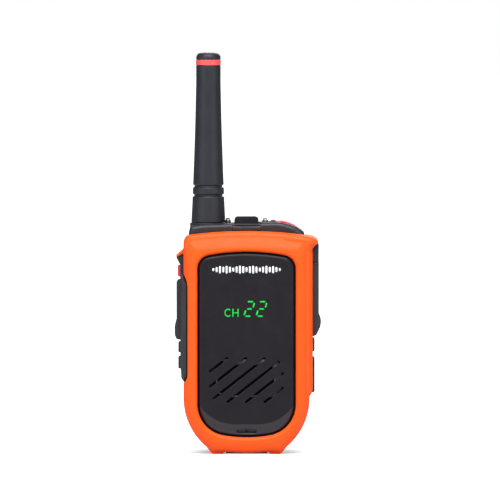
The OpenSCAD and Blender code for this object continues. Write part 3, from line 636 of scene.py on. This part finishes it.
def build_bumper():
    bumper = bumper_shell()
    boolean(bumper, [
        loft([(side_pad(inset), y) for inset, y in PAD_STATIONS]),
        loft([(shoulder(inset), y) for inset, y in SHOULDER_STATIONS]),
        foot(-1),
        foot(1),
    ], "UNION")
    boolean(bumper, bumper_cuts())
    boolean(bumper, left_lip(), "UNION")
    remesh(bumper, voxel=0.28, passes=4)
    drop_islands(bumper)
    finish(bumper, "orange_rubber", "radio", "front_bumper")


# ------------------------------------------------------------------ front panel
# Slanted slots: x and z of the lower end, length.
SLOTS = [(-15.8, 36.1, 9.35), (-15.8, 29.6, 19.75), (-14.1, 24.5, 27.75), (-8.2, 22.8, 28.2),
         (-0.2, 22.8, 20.15), (7.9, 22.8, 9.75)]
SLOT_WIDTH = 1.12
SLOT_ANGLE = math.radians(38)
PANEL_GAP = 0.15                       # clearance to the bumper opening
FACE_INSET, FACE_Y = 0.86, -16.4       # foot of the rounded face edge
EDGE_WIDTH, EDGE_DEPTH = 1.15, 0.6     # size of the rounded edge


def crease_heights(points):
    """Height of the curved crease above the chin, at the x of each point."""
    return np.array([13.0 + 8.3 * (abs(x) / 20.6) ** 3.2 for x in points[:, 0]])


def panel_solid():
    rings = [(opening(PANEL_GAP), -15.22), (opening(PANEL_GAP), -16.12),
             (opening(0.8), -16.16), (opening(FACE_INSET), FACE_Y)]
    for angle in np.radians(np.linspace(12, 90, 7)):
        rings.append((opening(FACE_INSET + EDGE_WIDTH * (1 - math.cos(angle))),
                      FACE_Y - EDGE_DEPTH * math.sin(angle)))
    panel = loft(rings, "front_panel_skin")
    cuts = [prism(capsule(x, z, length, SLOT_WIDTH, SLOT_ANGLE), -18, -14.5)
            for x, z, length in SLOTS]
    # wide recess in the chin with a round hole in it
    cuts.append(prism(rounded_rect(-4.3, 4.3, 9.2, 10.9, 0.35), -17.5, -16.0))
    cuts.append(prism(resample(arc(0, 10.1, 0.5, 0, 340, 18), 18), -17.5, -14.5))
    boolean(panel, cuts)
    remesh(panel, voxel=0.2, passes=2)
    return panel


def slope_chin(panel):
    """Push the face back below the crease."""
    points = read_vectors(panel.data.vertices, "co")
    front = np.clip((-points[:, 1] - 15.75) / 0.5, 0, 1)
    below = crease_heights(points) - points[:, 2]
    slope = np.minimum(0.3 * np.clip(below, 0, None), 1.0)
    points[:, 1] += front * slope * np.clip(below / 0.3, 0, 1)
    panel.data.vertices.foreach_set("co", points.astype(np.float32).ravel())
    panel.data.update()


def build_stiffener():
    """Frame behind the slots, left open where the first slot runs past its corner; painted a lighter
    grey, a painted highlight where it shows in the slots.
    """
    outer = [(-13.3, 27.8), (-10.3, 24.8), (12.2, 24.8), (15.2, 27.8), (15.2, 38.3),
             (12.2, 41.35), (-10.3, 41.35), (-13.3, 38.3)]
    inner = [(-12.5, 27.9), (-10.2, 25.6), (10.7, 25.6), (11.9, 26.8), (11.9, 37.3),
             (10.3, 38.9), (-5, 38.9), (-11.1, 39.7), (-12.5, 39.0)]
    ribs = prism(resample(outer, 120), -16.3, -15.3, "panel_stiffener")
    slot_x, slot_z, _ = SLOTS[0]
    boolean(ribs, [prism(resample(inner, 120), -18, -14),
                   prism(capsule(slot_x, slot_z, 6.0, 2.1, SLOT_ANGLE), -17, -14.7)])
    finish(ribs, "panel_plastic", "radio", material="panel_painted_highlight")


def panel_finishes(panel):
    """Material index per face: 0 face, 1 dark step and slot walls, the slot walls darkened as
    painted shade, 2 chin, lighter as a painted highlight.
    """
    centres = read_vectors(panel.data.polygons, "center")
    x, y, z = centres.T
    index = np.zeros(len(centres), dtype=np.int32)
    rim = opening(0.0, 720)
    near = np.where((np.abs(x) > 18.5) | (z < 20) | (z > 80))[0]
    # in chunks, to limit the size of the distance table
    for start in range(0, len(near), 20000):
        chunk = near[start:start + 20000]
        distance = np.hypot(x[chunk][:, None] - rim[None, :, 0],
                            z[chunk][:, None] - rim[None, :, 1]).min(1)
        index[chunk] = (distance < 0.84).astype(np.int32)
    # the chin below the crease takes the lighter copy: painted highlight
    index[(index == 0) & (z < crease_heights(centres)) & (y < -15.6)] = 2
    # slot walls get the near-black finish: painted shade inside the slots
    index[(y > -16.8) & (z > 20) & (z < 44) & (np.abs(x) < 19)] = 1
    return index


def build_panel():
    panel = panel_solid()
    slope_chin(panel)
    build_stiffener()
    index = panel_finishes(panel)
    finish(panel, "panel_plastic", "radio", "front_panel")
    panel.data.materials.append(MATERIALS["dark_step_and_slot_shade"])
    panel.data.materials.append(MATERIALS["panel_painted_highlight"])
    panel.data.polygons.foreach_set("material_index", index)
    panel.data.update()


# ------------------------------------------------------------------ display
DISPLAY_BAR = 0.64
DIGIT_X = (-0.9, 4.4)
# Bars of the digit 2, from the digit's x: start (x, z), end (x, z).
DIGIT_BARS = [
    ((1.3, 66.34), (3.85, 66.34)), ((4.32, 65.95), (3.75, 63.75)), ((1.05, 63.2), (3.3, 63.2)),
    ((0.55, 62.65), (-0.15, 60.4)), ((0.3, 60.07), (2.7, 60.07)),
]
LETTER_C = [(-7.98 + 0.9 * x, z) for x, z in
            arc(0, 61.55, 1.76, 48, 312, 20) + arc(0, 61.55, 1.28, 312, 48, 20)]
LETTER_H = [
    (-6.13, 59.82), (-5.69, 59.82), (-5.69, 61.33), (-3.91, 61.33), (-3.91, 59.82),
    (-3.47, 59.82), (-3.47, 63.28), (-3.91, 63.28), (-3.91, 61.74), (-5.69, 61.74),
    (-5.69, 63.28), (-6.13, 63.28),
]


def pointed_bar(start, end):
    start, end = np.array(start, float), np.array(end, float)
    along = (end - start) / np.linalg.norm(end - start) * DISPLAY_BAR / 2
    across = np.array([-along[1], along[0]])
    return [start, start + along + across, end - along + across,
            end, end - along - across, start + along - across]


def build_display():
    outlines = [pointed_bar((x + start[0], start[1]), (x + end[0], end[1]))
                for x in DIGIT_X for start, end in DIGIT_BARS]
    outlines += [LETTER_C, LETTER_H]
    display = join([prism(points, -17.03, -16.3) for points in outlines], "display_lit_bars")
    bevel(display, 0.04)
    finish(display, "lit_green", "radio", "display_segments")


# ------------------------------------------------------------------ aerial
AERIAL_X, AERIAL_Y = -16.6, -1.4
# Blind bore, from its top down: radius, z.
AERIAL_BORE = [(3.6, 166.0), (3.6, 130.0)]
# Outside from the foot to the tip, with two grooves low down and one for the ring: radius, z.
AERIAL_PROFILE = [
    (3.6, 100.21), (7.1, 100.21), (7.42, 100.55), (7.2, 104.5), (7.0, 108.5), (6.87, 111.45),
    (6.15, 111.7), (6.15, 112.45), (6.83, 112.7), (6.75, 115.45), (6.05, 115.7), (6.05, 116.45),
    (6.68, 116.7), (6.57, 119), (6.25, 127.5), (5.94, 136.4), (5.68, 145.5), (5.5, 153.8),
    (5.36, 160), (5.3, 165), (5.3, 168.66), (4.62, 168.7), (4.62, 171.1), (5.3, 171.14),
    (5.3, 172.4), (4.9, 173.3), (4.1, 173.95), (2.3, 174.2), (0.0, 174.2),
]
RING_PROFILE = [(4.66, 168.74), (5.36, 168.74), (5.36, 171.06), (4.66, 171.06), (4.66, 169.9)]


def fillet(profile, radius, steps=5):
    """Round each corner of an open profile."""
    rounded = [profile[0]]
    for i in range(1, len(profile) - 1):
        corner, before, after = (np.array(profile[k], float) for k in (i, i - 1, i + 1))
        length_in = np.linalg.norm(before - corner)
        length_out = np.linalg.norm(after - corner)
        reach = min(radius, 0.45 * length_in, 0.45 * length_out)
        start = corner + (before - corner) / length_in * reach
        end = corner + (after - corner) / length_out * reach
        for t in np.linspace(0, 1, steps):
            rounded.append(tuple((1 - t) ** 2 * start + 2 * t * (1 - t) * corner + t * t * end))
    rounded.append(profile[-1])
    return rounded


def lathe(profile, name, segments=160):
    """Turn a profile about the aerial's axis; it may end on the axis, or else it is closed."""
    verts, faces, rows = [], [], []
    for radius, z in profile:
        count = 1 if radius < 1e-6 else segments
        rows.append(range(len(verts), len(verts) + count))
        for i in range(count):
            turn = 2 * math.pi * i / segments
            verts.append((AERIAL_X + radius * math.cos(turn),
                          AERIAL_Y + radius * math.sin(turn), z))
    if len(rows[-1]) > 1:
        rows.append(rows[0])
    for row, following in zip(rows[:-1], rows[1:]):
        for i in range(segments):
            j = (i + 1) % segments
            if len(following) == 1:
                faces.append((row[i], row[j], following[0]))
            else:
                faces.append((row[i], row[j], following[j], following[i]))
    return solid(verts, faces, name)


def close_bore(mesh):
    bm = bmesh.new()
    bm.from_mesh(mesh)
    bmesh.ops.contextual_create(bm, geom=[edge for edge in bm.edges if edge.is_boundary])
    bmesh.ops.recalc_face_normals(bm, faces=bm.faces)
    bm.to_mesh(mesh)
    bm.free()


def build_aerial():
    sheath = lathe(AERIAL_BORE + fillet(AERIAL_PROFILE, 0.32), "aerial_skin")
    close_bore(sheath.data)
    finish(sheath, "aerial_rubber", "aerial", "antenna_sheath")
    ring = lathe(fillet(RING_PROFILE, 0.14), "aerial_ring_band")
    finish(ring, "coral_ring", "aerial", "antenna_ring")


# ------------------------------------------------------------------ emblem
EMBLEM_Z = 80.25
EMBLEM_START, EMBLEM_PITCH = -14.4, 1.44
EMBLEM_HALF_BAR, EMBLEM_CORNER = 0.45, 0.42
# Bar heights from the left end up to the middle bar; the right half mirrors them.
EMBLEM_HEIGHTS = [1.3, 2.2, 3.1, 2.4, 3.4, 2.6, 1.7, 2.8, 3.5, 3.0]
EMBLEM_MIDDLE = 2.0


def build_emblem():
    """A row of white sound bars on the panel."""
    bars = []
    heights = EMBLEM_HEIGHTS + [EMBLEM_MIDDLE] + EMBLEM_HEIGHTS[::-1]
    for i, height in enumerate(heights):
        x = EMBLEM_START + EMBLEM_PITCH * i
        outline = rounded_rect(x - EMBLEM_HALF_BAR, x + EMBLEM_HALF_BAR, EMBLEM_Z - height / 2,
                               EMBLEM_Z + height / 2, EMBLEM_CORNER, 40)
        bars.append(prism(outline, -17.05, -16.9))
    finish(join(bars, "panel_sound_bars"), "white_plastic", "radio", material="emblem_white")


# ------------------------------------------------------------------ softened CAD pieces
def cover_detail(cover):
    """Five level grooves and a shallow field on the rear face of the battery cover."""
    cuts = [prism(capsule(-12.5, 13.6 + 2.3 * i, 25.0, 1.15, 0.0), 16.85, 19)
            for i in range(5)]
    cuts.append(prism(rounded_rect(-16, 16, 33, 65, 2.4), 17.05, 19))
    boolean(cover, cuts)


def lever_detail(lever):
    """Four grooves across the talk lever, deepest in the middle."""
    boolean(lever, [block(-33, -30.85 - 0.1 * abs(i - 1.5), -6.6, -0.9,
                          52.2 + 1.3 * i, 52.75 + 1.3 * i) for i in range(4)])


DETAILS = {"battery_cover": cover_detail, "ptt_lever": lever_detail}
# CAD node, body it rides on, voxel size, smoothing passes.
COPIES = [
    ("top_cap", "radio", 0.26, 3),
    ("rear_case", "radio", 0.32, 3),
    ("battery_cover", "battery_pack", 0.32, 3),
    ("battery_tray", "battery_pack", 0.32, 2),
    ("left_key_frame", "radio", 0.18, 3),
    ("right_side_frame", "radio", 0.18, 3),
    ("port_cover", "port_flap", 0.16, 3),
    ("ptt_lever", "talk_lever", 0.14, 4),
    ("call_button", "call_key", 0.1, 3),
    ("vol_up_button", "volume_up_key", 0.1, 3),
    ("vol_down_button", "volume_down_key", 0.1, 3),
    ("power_button", "power_key", 0.12, 4),
    ("lanyard_lug", "radio", 0.12, 3),
    ("lug_screws", "radio", 0.08, 2),
    ("battery_screw", "pack_screw", 0.12, 2),
]


def soft_copy(node, body, voxel, passes):
    """A CAD node's own shape as one even skin with rounded edges."""
    name = node + "_skin"
    mesh = NODES[node].data.copy()
    mesh.name = name
    mesh.materials.clear()
    mesh.transform(Matrix.Scale(1000.0, 4))
    clean(mesh, 1e-4)
    copy = link(mesh, name)
    if node in DETAILS:
        DETAILS[node](copy)
    remesh(copy, voxel, passes)
    material = "cap_plastic" if node == "top_cap" else None
    finish(copy, SLOT_OF[node], body, node, material=material)


def build_battery_plate():
    """Satin plate in the field of the battery cover."""
    plate = prism(rounded_rect(-15.5, 15.5, 33.5, 64.5, 2.0), 17.0, 17.24, "battery_plate")
    bevel(plate, 0.08)
    finish(plate, "case_plastic", "battery_pack", material="plate_satin")


def paint_cad_nodes():
    """Finish the CAD pieces that still show; the front case, seen through the gap and the slots, is
    painted near-black as painted shade.
    """
    for name, obj in NODES.items():
        if not obj.hide_render:
            paint(obj, "interior_painted_shade" if name == "front_case" else SLOT_OF[name])


# ------------------------------------------------------------------ floor, light and camera (metres)
FLOOR_HALF = 9
LIGHT_TARGET = Vector((0, 0, 0.09))
# Name, location, width, height, power in watts.
AREA_LIGHTS = [
    ("key_left", (-1.0, -0.8, 0.26), 1.0, 1.1, 4.4),
    ("fill_right", (1.0, -0.85, 0.2), 0.9, 1.0, 3.4),
    ("top_soft", (0.0, -0.62, 0.95), 1.0, 0.95, 20.0),
    ("back_soft", (0.2, 1.2, 0.8), 1.0, 0.8, 7.0),
]
CAMERA_TARGET = Vector((0.0015, 0.0, 0.0882))
CAMERA_DISTANCE = 4.5
CAMERA_TILT = math.radians(2.0)
VIEW_WIDTH = 0.2175     # width seen at the target
SENSOR_WIDTH = 36.0


def floor_material():
    """Pale paper; its glow is seen by the camera only and grows away from the radio: the weak glow
    close to the radio is a painted contact shadow. The blue-green base colour is a painted
    correction that makes the orange light bounced onto the paper look grey.
    """
    s = Surface("floor_paper")
    distance = s.node("VectorMath", {0: s.coords}, operation="LENGTH").outputs["Value"]
    # weak glow close to the radio: painted contact shadow
    near = s.remap(distance, span=(0.02, 0.048), to=(0.4, 0.88))
    away = s.remap(distance, span=(0.2, 1.6), to=(0.0, 0.3))
    camera_ray = s.node("LightPath").outputs["Is Camera Ray"]
    s.shade({
        # blue-green tint: painted correction that cancels the orange bounce light
        "Base Color": s.mix(s.noise(scale=30.0), (0.61, 0.69, 0.7), (0.63, 0.71, 0.72)),
        "Roughness": 0.9,
        "Specular IOR Level": 0.1,
        "Emission Color": (1, 1, 1),
        "Emission Strength": s.math("MULTIPLY", s.math("ADD", near, away), camera_ray),
    })
    return MATERIALS["floor_paper"]


def build_floor():
    h = FLOOR_HALF
    mesh = bpy.data.meshes.new("floor")
    mesh.from_pydata([(-h, -h, 0), (h, -h, 0), (h, h, 0), (-h, h, 0)], [], [(0, 1, 2, 3)])
    floor = link(mesh, "floor")
    smooth_shade(floor)
    mesh.materials.append(floor_material())


def look_at(obj, target):
    obj.rotation_euler = (target - obj.location).to_track_quat("-Z", "Y").to_euler()


def build_lights():
    for name, location, width, height, power in AREA_LIGHTS:
        light = bpy.data.lights.new(name, "AREA")
        light.shape = "RECTANGLE"
        light.size = width
        light.size_y = height
        light.energy = power
        lamp = link(light, name)
        lamp.location = location
        look_at(lamp, LIGHT_TARGET)


def build_world():
    """White to the camera, dim as a light."""
    world = bpy.data.worlds.new("studio")
    bpy.context.scene.world = world
    world.use_nodes = True
    nodes, links = world.node_tree.nodes, world.node_tree.links
    background = nodes["Background"]
    background.inputs["Color"].default_value = (1, 1, 1, 1)
    path = nodes.new("ShaderNodeLightPath")
    strength = nodes.new("ShaderNodeMapRange")
    strength.inputs["To Min"].default_value = 0.16
    strength.inputs["To Max"].default_value = 1.0
    links.new(path.outputs["Is Camera Ray"], strength.inputs["Value"])
    links.new(strength.outputs["Result"], background.inputs["Strength"])


def build_camera():
    lens = bpy.data.cameras.new("camera")
    lens.sensor_width = SENSOR_WIDTH
    lens.lens = SENSOR_WIDTH * CAMERA_DISTANCE / VIEW_WIDTH
    lens.clip_start = 0.05
    camera = link(lens, "camera")
    rise = CAMERA_DISTANCE * math.tan(CAMERA_TILT)
    camera.location = CAMERA_TARGET + Vector((0.0, -CAMERA_DISTANCE, rise))
    look_at(camera, CAMERA_TARGET)
    bpy.context.scene.camera = camera
    bpy.context.scene.view_settings.view_transform = "Standard"


# ------------------------------------------------------------------ build
build_bumper()
build_panel()
build_display()
build_aerial()
build_emblem()
for entry in COPIES:
    soft_copy(*entry)
build_battery_plate()
paint_cad_nodes()
build_floor()
build_lights()
build_world()
build_camera()

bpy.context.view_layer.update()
